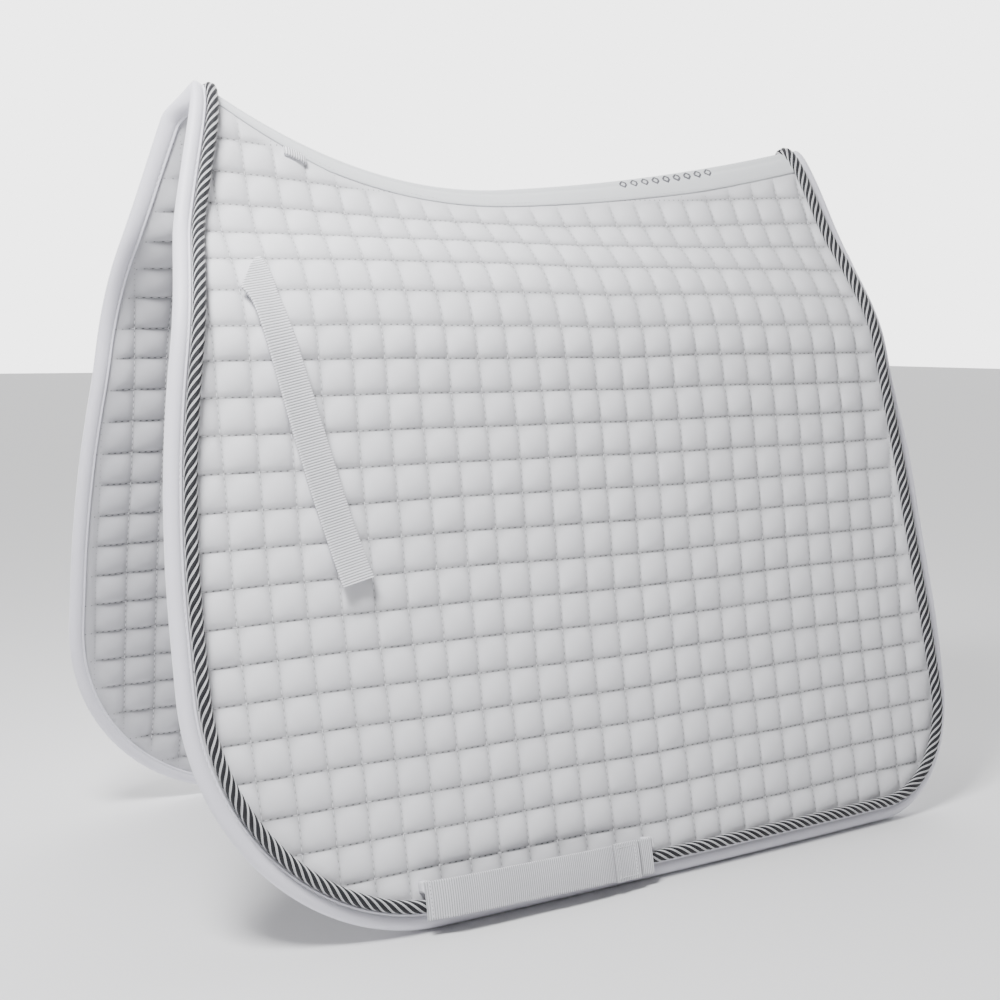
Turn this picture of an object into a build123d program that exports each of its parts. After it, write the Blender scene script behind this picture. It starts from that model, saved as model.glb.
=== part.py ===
"""Quilted dressage saddle pad: two padded flaps that fold about an arched spine.

Frame: X runs from the withers (front, -X) to the loin (rear, +X), Y runs across the horse
(the horse's left is -Y) and Z is up. The pad stands on the lower edges of its two flaps.
Everything is drawn for the right-hand side and mirrored to the left.
"""
from build123d import *
import os
from math import cos, radians, sin, tan

# ---- driving dimensions, millimetres and degrees -------------------------------------------
PAD_LENGTH = 688.0          # front edge to rear edge at the widest place
PAD_THICK = 10.0            # cover, wadding and lining together
CLOTH = 0.9                 # thickness of the cover and of the lining
LAYER_GAP = 0.1             # air between neighbouring layers

# Spine line: height at the dip, slope there, and how fast it rises to withers and loin
DIP_X = -25.0
DIP_Z = 512.5
DIP_SLOPE = 0.09
WITHERS_RISE = 0.00138
LOIN_RISE = 0.00025
CREST_ANGLE = 48.0          # each side leaves the spine line at this angle from vertical

# Cross-section of one side: fold row, shoulder and skirt (Y from the centre, Z above ground)
FOLD_Y = 45.0
FOLD_Z = 471.0
FOLD_ANGLE = 52.0           # from vertical, at the dip
FOLD_ANGLE_DROP = 17.0      # less than that at HALF_SPAN from the dip
SHOULDER_Y = 95.0
SHOULDER_Z = 387.4
SHOULDER_PINCH = 5.0        # the shoulder is this much narrower at HALF_SPAN from the dip
SHOULDER_RADIUS = 140.0
SHOULDER_ANGLE = 10.0       # skirt's tilt from vertical below the shoulder
HEM_ANGLE = 15.0            # skirt's tilt from vertical at the lower edge
SKIRT_LENGTH = 425.0
HALF_SPAN = 300.0
TWIST = 1.5                 # the skirt splays this much more at the front, less at the rear

# Outline seen from the side
FRONT_X = -PAD_LENGTH / 2
REAR_X = PAD_LENGTH / 2
FRONT_LEAN = 15.0           # front edge above the fold row, from vertical
FRONT_SWEEP = 1000.0        # radius that takes the front edge upright
FRONT_UPRIGHT_Z = 212.0
FRONT_CORNER = 170.0
REAR_LEAN = 5.7             # rear edge of the skirt, from vertical
REAR_TOP_LEAN = 12.5        # rear edge above the fold row
REAR_CORNER = 90.0
OUTLINE_TOP = 680.0         # the side outline runs on above the spine

# Trim
BINDING = 11.0              # round edge binding
BINDING_WALL = 1.3
ROPE = 9.0                  # twisted rope trim
TRIM_GAP = 0.2
TAPE_DROP = 15.0            # spine tape, below the spine line on each side
TAPE_THICK = 0.8
TAPE_SEAM = 2.5                 # the tape's seam, above its lower edge
THREAD = 0.5
THREAD_BAND = 1.0               # width of a row of stitches

# Webbing
STRAP_WIDTH = 20.5
STRAP_TOP = (-254.0, 456.0)     # centre of its sewn end, X and Z
STRAP_END = (-215.0, 236.0)     # centre of its free end
WEBBING = 1.6
STRAP_RISE = 1.4                # clear space under the strap
TACK_GAP = 3.0                  # bar tack, clear of the strap's sewn end
TACK_LENGTH = 3.0
PATCH_LENGTH = 45.0             # hook tape and loop tape under the strap's free end
PATCH_WIDTH = 17.0
PATCH_THICK = 0.5
PATCH_MARGIN = 4.0
LOOP_WIDTH = 27.5
LOOP_LENGTH = 190.0
LOOP_X = -90.0
LOOP_Z = 20.5
LOOP_BOW = 5.5                  # slack of the girth loop over the rope
LOOP_RAMP = 25.0                # it rises to that over this length at each end
LOOP_CLEAR = 0.8                # between the rope and the ends of the loop
LOOP_FOOT = 9.0                 # its sewn foot above the rope: across, along, gap to the cover
LOOP_FOOT_LONG = 4.0
LOOP_FOOT_GAP = 0.3
LOOP_FOLD = 30.0                # doubled rear end of the girth loop
LOOP_FOLD_LIFT = 1.0
LOOP_SEAMS = (5.0, 12.0)        # rows of stitches, from each end
LOOP_SEAM_WIDTH = 1.2
LOOP_SEAM_MARGIN = 2.5
TAB_LENGTH = 17.0
TAB_WIDTH = 5.0
TAB_X = -206.0
TAB_DROP = 4.0                  # below the spine tape
TAB_RISE = 1.6                  # clear space under the tab
TAB_THICK = 1.0
TAB_LEG = 2.0

# Room for the fold: how far the parts of one side stand back from the fold row
FOLD_GAP = 6.0
ROPE_FOLD_GAP = 11.5
FOLD_CUT_ANGLE = 45.0

OUTLINE_MARGIN = 20.0           # construction lines run past the pad by this
SMALLEST = 0.5                  # cubic mm: a cut leaves nothing smaller that counts
HALF_PAD = PAD_THICK / 2
STATION_REACH = 360.0
ARCH_STATIONS = [STATION_REACH * (i / 9 - 1) for i in range(19)]
FLAP_STATIONS = [STATION_REACH * (i / 4 - 1) for i in range(9)]
CREST_HANDLE = 22.0
FOLD_HANDLE = 32.0
FAR = 900.0
HALVINGS = 40
SLOPE_REACH = 10.0              # a slope is taken over this far each way


def span(x):
    """Place along the pad, from the dip, in units of HALF_SPAN."""
    return (x - DIP_X) / HALF_SPAN


def spine_z(x):
    run = x - DIP_X
    rise = WITHERS_RISE if run < 0 else LOIN_RISE
    return DIP_Z + DIP_SLOPE * run + rise * run * run


def fold_angle(x):
    return FOLD_ANGLE - FOLD_ANGLE_DROP * span(x) ** 2


def step(point, angle, along, out=0.0):
    """Move down the pad by along and off its outer face by out, at a tilt from vertical."""
    a = radians(angle)
    y, z = point
    return (y + along * sin(a) + out * cos(a), z - along * cos(a) + out * sin(a))


def twisted(point, x):
    """Turn a point of the section at x about the fold row, by the skirt's twist there."""
    a = radians(-TWIST * span(x))
    dy, dz = point[0] - FOLD_Y, point[1] - FOLD_Z
    return (FOLD_Y + dy * cos(a) - dz * sin(a), FOLD_Z + dy * sin(a) + dz * cos(a))


def flap_curves(x, out):
    """Shoulder and skirt at x, moved off the middle of the pad by out: two cubic curves."""
    fold = (FOLD_Y, FOLD_Z)
    shoulder = (SHOULDER_Y - SHOULDER_PINCH * span(x) ** 2, SHOULDER_Z)
    hem = step(shoulder, (SHOULDER_ANGLE + HEM_ANGLE) / 2, SKIRT_LENGTH)
    top = fold_angle(x)
    turn = radians(FOLD_ANGLE - SHOULDER_ANGLE)
    handle = 4 / 3 * tan(turn / 4) * (SHOULDER_RADIUS + out)
    third = SKIRT_LENGTH / 3
    upper = [step(fold, top, 0, out), step(fold, top, handle, out),
             step(shoulder, SHOULDER_ANGLE, -handle, out), step(shoulder, SHOULDER_ANGLE, 0, out)]
    lower = [upper[-1], step(shoulder, SHOULDER_ANGLE, third, out),
             step(hem, HEM_ANGLE, -third, out), step(hem, HEM_ANGLE, 0, out)]
    return [[twisted(p, x) for p in curve] for curve in (upper, lower)]


def arch_curves(x, out):
    """Spine line down to the fold row at x: a short run past the crest, then a cubic curve."""
    crest = (0.0, spine_z(x))
    fold = (FOLD_Y, FOLD_Z)
    low = fold_angle(x)
    run_past = PAD_THICK * 2
    curve = [step(crest, CREST_ANGLE, 0, out), step(crest, CREST_ANGLE, CREST_HANDLE, out),
             step(fold, low, -FOLD_HANDLE, out), step(fold, low, 0, out)]
    return [[step(crest, CREST_ANGLE, -run_past, out), curve[0]], curve]


def section(x, curves, low, high):
    """Closed face at x between the curves moved out by low and by high."""
    edges = []
    rims = [curves(x, high), curves(x, low)]
    for rim in rims:
        for points in rim:
            at = [(x, y, z) for y, z in points]
            edges.append(Line(*at) if len(at) == 2 else Bezier(*at))
    for end in (0, -1):
        (y0, z0), (y1, z1) = rims[0][end][end], rims[1][end][end]
        edges.append(Line((x, y0, z0), (x, y1, z1)))
    return make_face(Wire(edges))


def layer(stations, curves, low, high):
    """One lofted layer of the right-hand side, from low to high off the middle of the pad."""
    return loft([section(x, curves, low, high) for x in stations], ruled=True)


def side_outline(inset):
    """The pad's outline from the side, moved in by inset. It runs on above the spine."""
    upright = radians(FRONT_LEAN)
    front_top = (FRONT_X + FRONT_SWEEP * (1 - cos(upright)),
                 FRONT_UPRIGHT_Z + FRONT_SWEEP * sin(upright))
    half = radians(FRONT_LEAN / 2)
    front_mid = (FRONT_X + FRONT_SWEEP * (1 - cos(half)),
                 FRONT_UPRIGHT_Z + FRONT_SWEEP * sin(half))
    front_peak = (front_top[0] + (OUTLINE_TOP - front_top[1]) * tan(upright), OUTLINE_TOP)
    rear_foot = (REAR_X + REAR_CORNER * tan(radians(REAR_LEAN)), 0)
    rear_fold = (rear_foot[0] - FOLD_Z * tan(radians(REAR_LEAN)), FOLD_Z)
    rear_peak = (rear_fold[0] - (OUTLINE_TOP - FOLD_Z) * tan(radians(REAR_TOP_LEAN)), OUTLINE_TOP)
    with BuildSketch(Plane.XZ) as sketch:
        with BuildLine():
            Line(front_peak, front_top)
            ThreePointArc(front_top, front_mid, (FRONT_X, FRONT_UPRIGHT_Z))
            Polyline((FRONT_X, FRONT_UPRIGHT_Z), (FRONT_X, 0), rear_foot, rear_fold, rear_peak,
                     front_peak)
        make_face()
        feet = sketch.vertices().sort_by(Axis.Y)[:2].sort_by(Axis.X)
        fillet(feet[1], REAR_CORNER)
        feet = sketch.vertices().sort_by(Axis.Y)[:2].sort_by(Axis.X)
        fillet(feet[0], FRONT_CORNER)
        if inset:
            offset(amount=-inset, mode=Mode.REPLACE)
    return sketch.sketch


def across(sketch):
    """A side-view shape carried right across the pad."""
    return extrude(sketch, amount=FAR / 2, both=True)


def half_space(point, normal):
    """A block that fills the side of the plane that normal points to."""
    plane = Plane(origin=point, z_dir=normal)
    return plane * Box(2 * FAR, 2 * FAR, FAR, align=(Align.CENTER, Align.CENTER, Align.MIN))


def beyond_fold(gap, sign):
    """Space below (sign 1) or above (sign -1) the fold row, standing back from it by gap."""
    a = radians(FOLD_CUT_ANGLE)
    down = Vector(0, sin(a), -cos(a))
    point = Vector(0, FOLD_Y, FOLD_Z) + down * (sign * gap)
    return half_space(point, down * sign)


def ring(start, end):
    """The band of the side view between two insets, carried right across."""
    return across(side_outline(start)) - across(side_outline(end))


def panel(start):
    return across(side_outline(start))


def below_spine(drop_from, drop_to):
    """The band of the side view between two depths below the spine line."""
    stops = [FRONT_X - OUTLINE_MARGIN, DIP_X, REAR_X + OUTLINE_MARGIN]

    def line(drop):
        edges = []
        for a, b in zip(stops, stops[1:]):
            rise = WITHERS_RISE if b <= DIP_X else LOIN_RISE
            mid = (a + b) / 2
            slope_a = DIP_SLOPE + 2 * rise * (a - DIP_X)
            control = spine_z(a) + slope_a * (mid - a)
            edges.append(Bezier((a, 0, spine_z(a) - drop), (mid, 0, control - drop),
                                (b, 0, spine_z(b) - drop)))
        return edges

    ends = [Line((x, 0, spine_z(x) - drop_from), (x, 0, spine_z(x) - drop_to))
            for x in (stops[0], stops[-1])]
    return across(make_face(Wire(line(drop_from) + line(drop_to) + ends)))


def solids_of(shape):
    return [s for s in shape.solids() if s.volume > SMALLEST]


def mirrored(shape):
    return mirror(shape, about=Plane.XZ)


def both_sides(shape):
    """Right half and its mirror image, joined where they meet at the spine."""
    return shape + mirrored(shape)


# ---- materials' places through the thickness ------------------------------------------------
COVER = (HALF_PAD - CLOTH, HALF_PAD)
WADDING = (-HALF_PAD + CLOTH + LAYER_GAP, HALF_PAD - CLOTH - LAYER_GAP)
LINING = (-HALF_PAD, -HALF_PAD + CLOTH)
PADDED = {"cover": COVER, "wadding": WADDING, "lining": LINING}
BINDING_OUT = (-BINDING / 2, BINDING / 2)
FILLER_OUT = (-BINDING / 2 + BINDING_WALL, BINDING / 2 - BINDING_WALL)
ROPE_OUT = (HALF_PAD + TRIM_GAP, HALF_PAD + TRIM_GAP + ROPE)
ROPE_BAND = (BINDING + TRIM_GAP, BINDING + TRIM_GAP + ROPE)

pieces = {}


def add(name, shape, count=1):
    found = solids_of(shape)
    if len(found) != count:
        print("check", name, "has", len(found), "solids, wanted", count)
    pieces[name] = found[0] if len(found) == 1 else Compound(children=found)


def add_pair(name, shape, count=1):
    add("right_" + name, shape, count)
    add("left_" + name, mirrored(shape), count)


# ---- arch: what sits above the fold rows ----------------------------------------------------
off_centre = half_space((0, LAYER_GAP, 0), (0, 1, 0))
from_centre = half_space((0, 0, 0), (0, 1, 0))
above_fold = beyond_fold(FOLD_GAP, -1)
below_fold = beyond_fold(0.0, 1)
padded_panel = panel(BINDING + TRIM_GAP)

for name, (low, high) in PADDED.items():
    arch = layer(ARCH_STATIONS, arch_curves, low, high)
    add_pair("upper_" + name, arch & above_fold & off_centre & padded_panel)
    flap = layer(FLAP_STATIONS, flap_curves, low, high)
    add_pair(name, flap & below_fold & padded_panel)


def front_and_rear(stem, shape):
    """The arch's front and rear strips, each whole across the spine."""
    for end, sign in (("front", -1), ("rear", 1)):
        strip = shape & half_space((0, 0, 0), (sign, 0, 0))
        add(end + "_" + stem, both_sides(strip))


binding_ring = ring(0, BINDING)
filler_ring = ring(BINDING_WALL, BINDING - BINDING_WALL)
rope_ring = ring(*ROPE_BAND)

arch_filler = layer(ARCH_STATIONS, arch_curves, *FILLER_OUT) & filler_ring & from_centre
arch_binding = layer(ARCH_STATIONS, arch_curves, *BINDING_OUT) & binding_ring & from_centre
front_and_rear("arch_binding", (arch_binding - arch_filler) & above_fold)
front_and_rear("arch_binding_filler", arch_filler & above_fold)
arch_rope = layer(ARCH_STATIONS, arch_curves, *ROPE_OUT) & rope_ring & from_centre
front_and_rear("arch_rope", arch_rope & beyond_fold(ROPE_FOLD_GAP, -1))

tape_panel = panel(BINDING + TRIM_GAP + ROPE + TRIM_GAP)
tape_band = below_spine(-3 * PAD_THICK, TAPE_DROP)
tape_low = HALF_PAD + LAYER_GAP
tape_high = tape_low + TAPE_THICK
for name, low, high in (("spine_tape", tape_low, tape_high),
                        ("spine_lining_tape", -tape_high, -tape_low)):
    tape = layer(ARCH_STATIONS, arch_curves, low, high)
    add(name, both_sides(tape & tape_band & tape_panel & from_centre))

thread_layer = layer(ARCH_STATIONS, arch_curves, tape_high, tape_high + THREAD)
seam_drop = TAPE_DROP - TAPE_SEAM
thread_band = below_spine(seam_drop - THREAD_BAND / 2, seam_drop + THREAD_BAND / 2)
stitching = thread_layer & thread_band & tape_panel & from_centre
add("spine_stitching", stitching + mirrored(stitching), 2)

# ---- flaps' edges ---------------------------------------------------------------------------
flap_filler = layer(FLAP_STATIONS, flap_curves, *FILLER_OUT) & filler_ring & below_fold
flap_binding = layer(FLAP_STATIONS, flap_curves, *BINDING_OUT) & binding_ring & below_fold
add_pair("edge_binding", flap_binding - flap_filler)
add_pair("binding_filler", flap_filler)
flap_rope = layer(FLAP_STATIONS, flap_curves, *ROPE_OUT) & rope_ring
add_pair("rope_trim", flap_rope & beyond_fold(ROPE_FOLD_GAP, 1))


# ---- front strap, with its hook and loop patches --------------------------------------------
def strap_prism(start, end, width):
    """A square-cut band of the side view along the strap, between two places on it."""
    run = Vector(STRAP_END[0] - STRAP_TOP[0], 0, STRAP_END[1] - STRAP_TOP[1])
    along = run.normalized()
    centre = Vector(STRAP_TOP[0], 0, STRAP_TOP[1]) + along * ((start + end) / 2)
    plane = Plane(origin=centre, x_dir=along, z_dir=(0, -1, 0))
    return plane * Box(end - start, width, FAR)


strap_run = ((STRAP_END[0] - STRAP_TOP[0]) ** 2 + (STRAP_END[1] - STRAP_TOP[1]) ** 2) ** 0.5
strap_low = HALF_PAD + STRAP_RISE
strap_layer = layer(FLAP_STATIONS, flap_curves, strap_low, strap_low + WEBBING)
outside = half_space((0, FOLD_Y, 0), (0, 1, 0))
add_pair("front_strap", strap_layer & strap_prism(0, strap_run, STRAP_WIDTH) & outside)

hook_layer = layer(FLAP_STATIONS, flap_curves, strap_low - PATCH_THICK, strap_low)
pile_layer = layer(FLAP_STATIONS, flap_curves, HALF_PAD, HALF_PAD + PATCH_THICK)
patch_end = strap_run - PATCH_MARGIN
patch = strap_prism(patch_end - PATCH_LENGTH, patch_end, PATCH_WIDTH)
add_pair("strap_hook_patch", hook_layer & patch & outside)
add_pair("strap_loop_patch", pile_layer & patch & outside)
tack_layer = layer(FLAP_STATIONS, flap_curves, HALF_PAD, strap_low + WEBBING)
tack = tack_layer & strap_prism(-TACK_GAP - TACK_LENGTH, -TACK_GAP, STRAP_WIDTH) & outside
add_pair("strap_bar_tack", tack)


# ---- girth loop over the rope ---------------------------------------------------------------
def surface_point(x, z):
    """Middle of the pad's skirt at x and height z, by halving the curve."""
    low, high = 0.0, 1.0
    p = flap_curves(x, 0.0)[1]
    for _ in range(HALVINGS):
        t = (low + high) / 2
        w = ((1 - t) ** 3, 3 * t * (1 - t) ** 2, 3 * t * t * (1 - t), t ** 3)
        height = sum(wi * pi[1] for wi, pi in zip(w, p))
        if height > z:
            low = t
        else:
            high = t
    return Vector(x, sum(wi * pi[0] for wi, pi in zip(w, p)), z)


loop_centre = surface_point(LOOP_X, LOOP_Z)
reach = LOOP_LENGTH / 2
loop_along = surface_point(LOOP_X + reach, LOOP_Z) - surface_point(LOOP_X - reach, LOOP_Z)
loop_up = surface_point(LOOP_X, LOOP_Z + SLOPE_REACH) - surface_point(LOOP_X, LOOP_Z - SLOPE_REACH)
loop_out = loop_up.cross(loop_along).normalized()
if loop_out.Y < 0:
    loop_out = -loop_out
loop_plane = Plane(origin=loop_centre, x_dir=loop_along, z_dir=loop_along.cross(loop_out))

over_rope = ROPE_OUT[1] + LOOP_CLEAR
top_of_bow = over_rope + LOOP_BOW
ramp = reach - LOOP_RAMP
fold_low = over_rope + LOOP_FOLD_LIFT
with BuildSketch(loop_plane) as band:
    Polygon((-reach, over_rope), (-ramp, top_of_bow), (ramp - LOOP_FOLD, top_of_bow),
            (reach - LOOP_FOLD, fold_low), (reach, over_rope),
            (reach, over_rope + WEBBING), (reach - LOOP_FOLD, fold_low + 2 * WEBBING),
            (ramp - LOOP_FOLD, top_of_bow + WEBBING), (-ramp, top_of_bow + WEBBING),
            (-reach, over_rope + WEBBING), align=None)
loop_band = extrude(band.sketch, amount=LOOP_WIDTH / 2, both=True)

foot_height = over_rope - HALF_PAD
foot_drop = LOOP_WIDTH / 2 - LOOP_FOOT / 2
upward = 1 if loop_plane.z_dir.Z > 0 else -1
feet = []
for end in (-1, 1):
    along = end * (reach - LOOP_FOOT_LONG / 2)
    centre = loop_plane.from_local_coords(
        Vector(along, HALF_PAD + LOOP_FOOT_GAP + foot_height / 2, upward * foot_drop))
    block = Plane(origin=centre, x_dir=loop_along, z_dir=loop_plane.z_dir)
    feet.append(block * Box(LOOP_FOOT_LONG, foot_height, LOOP_FOOT))
girth_loop = loop_band + feet[0] + feet[1]
add_pair("girth_loop", girth_loop)

threads = []
slopes = {-1: LOOP_BOW / LOOP_RAMP, 1: (LOOP_FOLD_LIFT + WEBBING) / LOOP_FOLD}
for end, slope in slopes.items():
    for place in LOOP_SEAMS:
        lift = over_rope + WEBBING + slope * place + THREAD
        centre = loop_plane.from_local_coords(Vector(end * (reach - place), lift, 0))
        block = Plane(origin=centre, x_dir=loop_along, z_dir=loop_plane.z_dir)
        threads.append(block * Box(LOOP_SEAM_WIDTH, THREAD, LOOP_WIDTH - 2 * LOOP_SEAM_MARGIN))
add_pair("girth_loop_stitching", Compound(children=threads), len(threads))

# ---- small loop beside the spine tape, on the left only -------------------------------------
tab_z = spine_z(TAB_X) - TAPE_DROP - TAB_DROP
tab_low = HALF_PAD + TAB_RISE
tab_layer = layer(ARCH_STATIONS, arch_curves, tab_low, tab_low + TAB_THICK)
tab_slope = DIP_SLOPE + 2 * WITHERS_RISE * (TAB_X - DIP_X)
tab_dir = Vector(1, 0, tab_slope).normalized()
tab_plane = Plane(origin=(TAB_X, 0, tab_z), x_dir=tab_dir, z_dir=(0, -1, 0))
tab_bridge = tab_layer & (tab_plane * Box(TAB_LENGTH, TAB_WIDTH, FAR)) & from_centre
tab_legs = layer(ARCH_STATIONS, arch_curves, HALF_PAD, tab_low + TAB_THICK / 2)
for end in (-1, 1):
    place = end * (TAB_LENGTH - TAB_LEG) / 2
    leg = tab_plane * Pos(place, 0, 0) * Box(TAB_LEG, TAB_WIDTH, FAR)
    tab_bridge = tab_bridge + (tab_legs & leg & from_centre)
add("withers_tab", mirrored(tab_bridge))

# ---- write ----------------------------------------------------------------------------------
os.makedirs("parts", exist_ok=True)
for name, shape in pieces.items():
    export_step(shape, "parts/" + name + ".step")
    box = shape.bounding_box()
    print(name, len(shape.solids()), round(shape.volume), box.min, box.max)
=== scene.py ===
"""Visual model of a quilted dressage saddle pad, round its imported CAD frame.

Every soft piece is drawn from one surface of a side of the pad. A point on it is (x, s, n): x along the
pad, s down the pad from the fold row, n off the middle of its thickness. All three are in millimetres.
"""

import math

import bmesh
import bpy
import numpy as np
from mathutils import Matrix, Vector


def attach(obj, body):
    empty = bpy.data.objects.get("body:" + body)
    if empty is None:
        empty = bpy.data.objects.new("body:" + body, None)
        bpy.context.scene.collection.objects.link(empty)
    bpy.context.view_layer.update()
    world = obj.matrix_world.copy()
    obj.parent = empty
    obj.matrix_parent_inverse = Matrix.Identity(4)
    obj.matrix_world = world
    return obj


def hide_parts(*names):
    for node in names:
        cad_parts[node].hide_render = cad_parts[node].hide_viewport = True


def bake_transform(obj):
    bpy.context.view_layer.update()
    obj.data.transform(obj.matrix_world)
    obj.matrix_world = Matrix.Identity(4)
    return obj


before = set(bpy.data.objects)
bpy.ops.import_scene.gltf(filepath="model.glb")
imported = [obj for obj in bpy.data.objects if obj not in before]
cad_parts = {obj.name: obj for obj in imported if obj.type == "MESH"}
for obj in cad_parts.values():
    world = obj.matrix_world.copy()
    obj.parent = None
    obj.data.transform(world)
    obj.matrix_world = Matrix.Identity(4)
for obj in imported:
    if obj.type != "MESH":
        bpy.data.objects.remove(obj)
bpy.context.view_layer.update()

MM = 0.001
SIDES = {"left": -1, "right": 1}     # the horse's left is -Y
rng = np.random.default_rng(526)

# ---- the pad's surface, as the CAD source draws it (millimetres, degrees)
DIP_X, DIP_Z, DIP_SLOPE = -25.0, 512.5, 0.09
WITHERS_RISE, LOIN_RISE = 0.00138, 0.00025
CREST_ANGLE, CREST_HANDLE, FOLD_HANDLE = 48.0, 22.0, 32.0
FOLD_Y, FOLD_Z, FOLD_ANGLE, FOLD_ANGLE_DROP = 45.0, 471.0, 52.0, 17.0
SHOULDER_Y, SHOULDER_Z, SHOULDER_PINCH = 95.0, 387.4, 5.0
SHOULDER_RADIUS, SHOULDER_ANGLE, HEM_ANGLE = 140.0, 10.0, 15.0
SKIRT_LENGTH, HALF_SPAN, TWIST = 425.0, 300.0, 1.5
FRONT_X, REAR_X = -344.0, 344.0
FRONT_LEAN, FRONT_SWEEP, FRONT_UPRIGHT_Z, FRONT_CORNER = 15.0, 1000.0, 212.0, 170.0
REAR_LEAN, REAR_TOP_LEAN, REAR_CORNER = 5.7, 12.5, 90.0

PAST_FRONT_PEAK, PAST_REAR_PEAK = 250.0, 200.0      # the outline runs on above the spine
CUT_ABOVE_SPINE = 24.0      # and is cut off at this height above it
OUTLINE_PITCH = 1.5

# ---- how the surface drawn here differs from the CAD's
RIDGE_ROUND = 1.6           # how softly the two sides meet on the spine line
MITRE_REACH = 16.0          # thick pieces lean to meet on the spine line, this far down from it
CLEAR = 0.05                # every point stays this far from the plane between the two sides
REAR_FLARE, REAR_FLARE_REACH = 9.5, 45.0    # the rear edge curls outward, halfway down each flap
REAR_FLARE_STARTS, REAR_FLARE_FULL, REAR_FLARE_FADES, REAR_FLARE_ENDS = 80.0, 200.0, 310.0, 440.0
FAR_FLARE_Y, FAR_FLARE_X = 15.0, 8.0        # the right arch's front edge hangs wider and forward
FAR_FLARE_REACH = 48.0
FAR_FLARE_TOP, FAR_FLARE_END, FAR_FLARE_FADE = 26.0, 130.0, 150.0

# ---- the table of the surface
TABLE_HALF_X, TABLE_TOP_S, TABLE_HEM_S = 376.0, -150.0, 570.0
X_STEP, S_STEP = 4.0, 2.0


def unit(vectors):
    return vectors / np.linalg.norm(vectors, axis=-1, keepdims=True)


def lengths(line):
    """Distance along a line of points, at each point."""
    return np.concatenate([[0], np.cumsum(np.linalg.norm(np.diff(line, axis=0), axis=1))])


def bend(points, count):
    """Cubic curve through control points given as (rows of x, 2) arrays."""
    t = np.linspace(0, 1, count)[None, :, None]
    p = [np.asarray(q)[:, None, :] for q in points]
    return (1 - t) ** 3 * p[0] + 3 * t * (1 - t) ** 2 * p[1] + 3 * t * t * (1 - t) * p[2] + t**3 * p[3]


def step(point, angle, along):
    """Points moved along the downward direction at this angle from vertical."""
    a = np.radians(angle) * np.ones(len(point))
    return point + along * np.stack([np.sin(a), -np.cos(a)], -1)


def spine_height(x):
    run = x - DIP_X
    return DIP_Z + DIP_SLOPE * run + np.where(run < 0, WITHERS_RISE, LOIN_RISE) * run**2


def section_table():
    """Y, Z and their outward normals on a grid of x and s, with the crest's s at each x."""
    xs = np.arange(-TABLE_HALF_X, TABLE_HALF_X + 1, X_STEP)
    span = (xs - DIP_X) / HALF_SPAN
    low = FOLD_ANGLE - FOLD_ANGLE_DROP * span**2
    crest = np.stack([0 * xs, spine_height(xs)], -1)
    fold = np.stack([0 * xs + FOLD_Y, 0 * xs + FOLD_Z], -1)
    shoulder = np.stack([SHOULDER_Y - SHOULDER_PINCH * span**2, 0 * xs + SHOULDER_Z], -1)
    hem = step(shoulder, (SHOULDER_ANGLE + HEM_ANGLE) / 2, SKIRT_LENGTH)
    turn = math.radians(FOLD_ANGLE - SHOULDER_ANGLE)
    handle = 4 / 3 * math.tan(turn / 4) * SHOULDER_RADIUS
    third = SKIRT_LENGTH / 3
    arch = bend([crest, step(crest, CREST_ANGLE, CREST_HANDLE), step(fold, low, -FOLD_HANDLE), fold], 60)
    upper = bend([fold, step(fold, low, handle), step(shoulder, SHOULDER_ANGLE, -handle), shoulder], 50)
    lower = bend([shoulder, step(shoulder, SHOULDER_ANGLE, third), step(hem, HEM_ANGLE, -third), hem], 80)
    flap = np.concatenate([upper, lower[:, 1:]], 1) - fold[:, None]
    a = np.radians(-TWIST * span)[:, None]
    flap = np.stack([flap[..., 0] * np.cos(a) - flap[..., 1] * np.sin(a),
                     flap[..., 0] * np.sin(a) + flap[..., 1] * np.cos(a)], -1) + fold[:, None]
    ss = np.arange(TABLE_TOP_S, TABLE_HEM_S + 1, S_STEP)
    table = np.zeros((len(xs), len(ss), 4))
    crests = np.zeros(len(xs))
    for i in range(len(xs)):
        line = np.concatenate([arch[i], flap[i][1:]])
        along = lengths(line)
        along -= along[len(arch[i]) - 1]
        crests[i] = along[0]
        for axis in (0, 1):
            past_top = (ss - along[0]) * (line[1, axis] - line[0, axis]) / (along[1] - along[0])
            past_hem = (ss - along[-1]) * (line[-1, axis] - line[-2, axis]) / (along[-1] - along[-2])
            table[i, :, axis] = (np.interp(ss, along, line[:, axis]) + past_top * (ss < along[0])
                                 + past_hem * (ss > along[-1]))
    slope = unit(np.gradient(table[:, :, :2], S_STEP, axis=1))
    table[:, :, 2] = -slope[..., 1]
    table[:, :, 3] = slope[..., 0]
    return xs, ss, table, crests


XS, SS, TABLE, CRESTS = section_table()


def crest_s(x):
    """s of the spine line."""
    return np.interp(x, XS, CRESTS)


def ease(t):
    """Smooth step from 0 to 1."""
    t = np.clip(t, 0, 1)
    return t * t * (3 - 2 * t)


def rear_flare(x, s):
    """How far the rear edge's curl lifts a place off the flap."""
    inside = np.interp(s, REAR_LINE[:, 1], REAR_LINE[:, 0]) - x
    near = np.clip(1 - inside / REAR_FLARE_REACH, 0, 1.2) ** 2
    starts = ease((s - REAR_FLARE_STARTS) / (REAR_FLARE_FULL - REAR_FLARE_STARTS))
    ends = ease((REAR_FLARE_ENDS - s) / (REAR_FLARE_ENDS - REAR_FLARE_FADES))
    return REAR_FLARE * near * starts * ends


def far_flare(x, s):
    """1 on the right arch's front edge, falling to 0 inside it and down the flap."""
    inside = x - np.interp(s, FRONT_LINE[:, 1], FRONT_LINE[:, 0])
    below = ease((s - crest_s(x)) / FAR_FLARE_TOP)
    return ease(1.05 - inside / FAR_FLARE_REACH) * below * ease((FAR_FLARE_END - s) / FAR_FLARE_FADE)


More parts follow.
